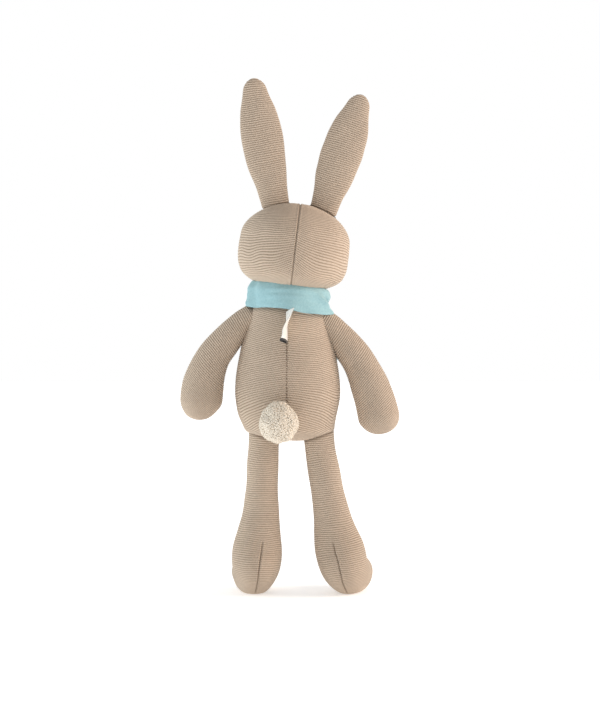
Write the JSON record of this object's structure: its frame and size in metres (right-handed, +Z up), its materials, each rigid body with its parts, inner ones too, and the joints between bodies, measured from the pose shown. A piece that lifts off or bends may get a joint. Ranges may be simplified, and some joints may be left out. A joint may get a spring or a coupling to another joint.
{
  "type": "stuffed bunny",
  "caption": "Long-eared stuffed bunny of knitted panels over fibrefill, with pompom tail, neck scarf and care label, standing on flat-soled feet.",
  "frame": {"origin": "on the floor, under the middle of the toy's box", "axes": "+Z up, the toy faces -Y, its own left hand is on +X"},
  "size_m": [0.1685, 0.1007, 0.4],
  "materials": {
    "taupe_knit": "matte",
    "fibrefill": "matte",
    "cream_yarn": "matte",
    "blue_cloth": "matte",
    "label_satin": "satin",
    "embroidery": "satin",
    "eye_plastic": "gloss",
    "washer_plastic": "matte"
  },
  "bodies": {
    "torso": {"torso_back_left_panel": "taupe_knit", "torso_back_right_panel": "taupe_knit", "torso_front_panel": "taupe_knit", "torso_stuffing": "fibrefill"},
    "neck": {"neck_stuffing": "fibrefill"},
    "head": {"head_left_panel": "taupe_knit", "head_right_panel": "taupe_knit", "head_stuffing": "fibrefill", "left_eye": "eye_plastic", "right_eye": "eye_plastic", "left_eye_washer": "washer_plastic", "right_eye_washer": "washer_plastic", "nose": "embroidery", "mouth": "embroidery"},
    "left_ear": {"left_ear_back": "taupe_knit", "left_ear_front": "taupe_knit", "left_ear_wadding": "fibrefill"},
    "right_ear": {"right_ear_back": "taupe_knit", "right_ear_front": "taupe_knit", "right_ear_wadding": "fibrefill"},
    "left_arm": {"left_arm_skin": "taupe_knit", "left_arm_stuffing": "fibrefill"},
    "right_arm": {"right_arm_skin": "taupe_knit", "right_arm_stuffing": "fibrefill"},
    "left_leg": {"left_leg_skin": "taupe_knit", "left_leg_stuffing": "fibrefill"},
    "right_leg": {"right_leg_skin": "taupe_knit", "right_leg_stuffing": "fibrefill"},
    "tail": {"tail_pompom": "cream_yarn", "tail_binding_thread": "cream_yarn"},
    "label": {"care_label": "label_satin"},
    "scarf": {"scarf_band": "blue_cloth", "scarf_knot": "blue_cloth"},
    "scarf_left": {"scarf_left_end": "blue_cloth"},
    "scarf_right": {"scarf_right_end": "blue_cloth"}
  },
  "joints": [
    {"name": "head_turn", "type": "hinge", "parent": "torso", "child": "neck", "pos_m": [-0.0005, -0.006, 0.231], "axis": [0, 0, 1], "range_deg": [-35, 35], "stiffness_Nm_per_rad": 0.1},
    {"name": "head_nod", "type": "hinge", "parent": "neck", "child": "head", "pos_m": [-0.0005, -0.006, 0.231], "axis": [1, 0, 0], "range_deg": [-15, 20], "stiffness_Nm_per_rad": 0.2, "deforming": ["scarf_band"]},
    {"name": "left_ear_fold", "type": "hinge", "parent": "head", "child": "left_ear", "pos_m": [0.0118, -0.006, 0.3091], "axis": [0.9839, 0, -0.179], "range_deg": [-70, 95], "stiffness_Nm_per_rad": 0.04},
    {"name": "right_ear_fold", "type": "hinge", "parent": "head", "child": "right_ear", "pos_m": [-0.0282, -0.006, 0.3043], "axis": [0.9499, 0, 0.3127], "range_deg": [-70, 95], "stiffness_Nm_per_rad": 0.04},
    {"name": "left_arm_swing", "type": "hinge", "parent": "torso", "child": "left_arm", "pos_m": [0.0366, -0.006, 0.207], "axis": [-1, 0, 0], "range_deg": [-60, 110], "stiffness_Nm_per_rad": 0.08},
    {"name": "right_arm_swing", "type": "hinge", "parent": "torso", "child": "right_arm", "pos_m": [-0.0336, -0.006, 0.2075], "axis": [-1, 0, 0], "range_deg": [-60, 110], "stiffness_Nm_per_rad": 0.08},
    {"name": "left_leg_swing", "type": "hinge", "parent": "torso", "child": "left_leg", "pos_m": [0.0199, -0.006, 0.1112], "axis": [-1, 0, 0], "range_deg": [-35, 95], "stiffness_Nm_per_rad": 0.4},
    {"name": "right_leg_swing", "type": "hinge", "parent": "torso", "child": "right_leg", "pos_m": [-0.0233, -0.006, 0.1113], "axis": [-1, 0, 0], "range_deg": [-35, 95], "stiffness_Nm_per_rad": 0.4},
    {"name": "tail_flick", "type": "hinge", "parent": "torso", "child": "tail", "pos_m": [0.0067, 0.0226, 0.1404], "axis": [1, 0, 0], "range_deg": [-18, 18], "stiffness_Nm_per_rad": 0.02},
    {"name": "label_turn", "type": "hinge", "parent": "torso", "child": "label", "pos_m": [0.0019, 0.02124, 0.196], "axis": [0, -0.1907, 0.9816], "range_deg": [-90, 55], "stiffness_Nm_per_rad": 0.0005},
    {"name": "scarf_turn", "type": "hinge", "parent": "torso", "child": "scarf", "pos_m": [-0.0005, -0.006, 0.229], "axis": [0, 0, 1], "range_deg": [-10, 10]},
    {"name": "scarf_left_lift", "type": "hinge", "parent": "scarf", "child": "scarf_left", "pos_m": [0.0025, -0.0407, 0.212], "axis": [-0.8291, 0, -0.5591], "range_deg": [0, 90]},
    {"name": "scarf_right_lift", "type": "hinge", "parent": "scarf", "child": "scarf_right", "pos_m": [-0.0125, -0.0407, 0.212], "axis": [-0.8291, 0, 0.5591], "range_deg": [0, 90]}
  ]
}
